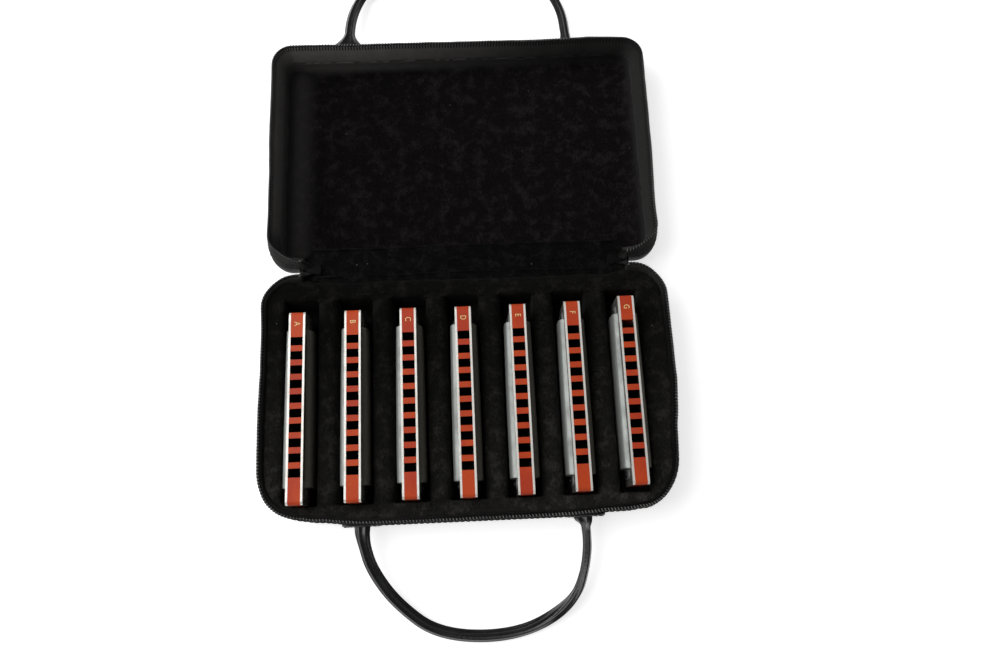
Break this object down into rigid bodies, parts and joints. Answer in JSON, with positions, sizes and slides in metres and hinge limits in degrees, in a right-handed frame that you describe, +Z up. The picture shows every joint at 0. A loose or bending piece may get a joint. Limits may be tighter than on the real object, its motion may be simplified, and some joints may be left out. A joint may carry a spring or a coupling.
{
  "type": "harmonica case",
  "caption": "Soft-shell case that opens flat on a fabric spine, zipped on three sides, with a handle on each half and a padded tray of slots holding mouth harmonicas upright.",
  "frame": {"origin": "on the table, under the middle of the spine between the two halves of the opened case", "axes": "+X along the spine, +Y from the base to the lid, +Z up"},
  "size_m": [0.219, 0.4, 0.032],
  "materials": {
    "shell_fabric": "moulded foam shell covered in black woven nylon",
    "velvet": "black velvet pile with an uneven nap",
    "zip_tape": "black woven zip tape",
    "zip_coil": "black nylon coil",
    "handle_leather": "glossy black leatherette",
    "slider_metal": "black enamelled die casting",
    "comb_plastic": "glossy orange-red moulded plastic",
    "plate_metal": "bright polished plate",
    "cover_steel": "satin pressed steel",
    "reed_brass": "plain brass"
  },
  "bodies": {
    "case_base": {"base_shell": "shell_fabric", "base_tray_floor": "velvet", "base_tray_border": "velvet", "base_tray_dividers": "velvet", "base_zip_tape": "zip_tape", "base_zip_coil": "zip_coil", "base_handle_tabs": "handle_leather"},
    "spine": {"spine_cover": "shell_fabric", "spine_lining": "velvet", "zip_chain_ends": "zip_tape", "zip_sliders": "slider_metal"},
    "lid": {"lid_shell": "shell_fabric", "lid_lining": "velvet", "lid_zip_tape": "zip_tape", "lid_zip_coil": "zip_coil", "lid_handle_tabs": "handle_leather"},
    "base_handle": {"base_handle": "handle_leather"},
    "lid_handle": {"lid_handle": "handle_leather"},
    "left_pull": {"left_zip_pull": "slider_metal"},
    "right_pull": {"right_zip_pull": "slider_metal"},
    "harmonica_A": {"comb_A": "comb_plastic", "reed_plates_A": "plate_metal", "reeds_A": "reed_brass", "covers_A": "cover_steel", "rivets_A": "plate_metal"},
    "harmonica_B": {"comb_B": "comb_plastic", "reed_plates_B": "plate_metal", "reeds_B": "reed_brass", "covers_B": "cover_steel", "rivets_B": "plate_metal"},
    "harmonica_C": {"comb_C": "comb_plastic", "reed_plates_C": "plate_metal", "reeds_C": "reed_brass", "covers_C": "cover_steel", "rivets_C": "plate_metal"},
    "harmonica_D": {"comb_D": "comb_plastic", "reed_plates_D": "plate_metal", "reeds_D": "reed_brass", "covers_D": "cover_steel", "rivets_D": "plate_metal"},
    "harmonica_E": {"comb_E": "comb_plastic", "reed_plates_E": "plate_metal", "reeds_E": "reed_brass", "covers_E": "cover_steel", "rivets_E": "plate_metal"},
    "harmonica_F": {"comb_F": "comb_plastic", "reed_plates_F": "plate_metal", "reeds_F": "reed_brass", "covers_F": "cover_steel", "rivets_F": "plate_metal"},
    "harmonica_G": {"comb_G": "comb_plastic", "reed_plates_G": "plate_metal", "reeds_G": "reed_brass", "covers_G": "cover_steel", "rivets_G": "plate_metal"}
  },
  "joints": [
    {"name": "spine_fold", "type": "hinge", "parent": "case_base", "child": "spine", "pos_m": [0, -0.007, 0.018], "axis": [1, 0, 0], "range_deg": [0, 90]},
    {"name": "lid_fold", "type": "hinge", "parent": "spine", "child": "lid", "pos_m": [0, 0.007, 0.018], "axis": [1, 0, 0], "range_deg": [0, 90]},
    {"name": "base_handle_swing", "type": "hinge", "parent": "case_base", "child": "base_handle", "pos_m": [0, -0.1426, 0.014], "axis": [1, 0, 0], "range_deg": [-100, 0]},
    {"name": "lid_handle_swing", "type": "hinge", "parent": "lid", "child": "lid_handle", "pos_m": [0, 0.1426, 0.014], "axis": [-1, 0, 0], "range_deg": [-100, 0]},
    {"name": "left_pull_swing", "type": "hinge", "parent": "spine", "child": "left_pull", "pos_m": [-0.08375, 0, 0.014], "axis": [0, 1, 0], "range_deg": [-85, 85]},
    {"name": "right_pull_swing", "type": "hinge", "parent": "spine", "child": "right_pull", "pos_m": [0.08375, 0, 0.014], "axis": [0, 1, 0], "range_deg": [-85, 85]},
    {"name": "harmonica_A_lift", "type": "slide", "parent": "case_base", "child": "harmonica_A", "axis": [0, 0, -1], "range_m": [-0.06, 0]},
    {"name": "harmonica_B_lift", "type": "slide", "parent": "case_base", "child": "harmonica_B", "axis": [0, 0, -1], "range_m": [-0.06, 0]},
    {"name": "harmonica_C_lift", "type": "slide", "parent": "case_base", "child": "harmonica_C", "axis": [0, 0, -1], "range_m": [-0.06, 0]},
    {"name": "harmonica_D_lift", "type": "slide", "parent": "case_base", "child": "harmonica_D", "axis": [0, 0, -1], "range_m": [-0.06, 0]},
    {"name": "harmonica_E_lift", "type": "slide", "parent": "case_base", "child": "harmonica_E", "axis": [0, 0, -1], "range_m": [-0.06, 0]},
    {"name": "harmonica_F_lift", "type": "slide", "parent": "case_base", "child": "harmonica_F", "axis": [0, 0, -1], "range_m": [-0.06, 0]},
    {"name": "harmonica_G_lift", "type": "slide", "parent": "case_base", "child": "harmonica_G", "axis": [0, 0, -1], "range_m": [-0.06, 0]}
  ],
  "couplings": [
    {"joint": "lid_fold", "follows": "spine_fold", "ratio": 1}
  ]
}
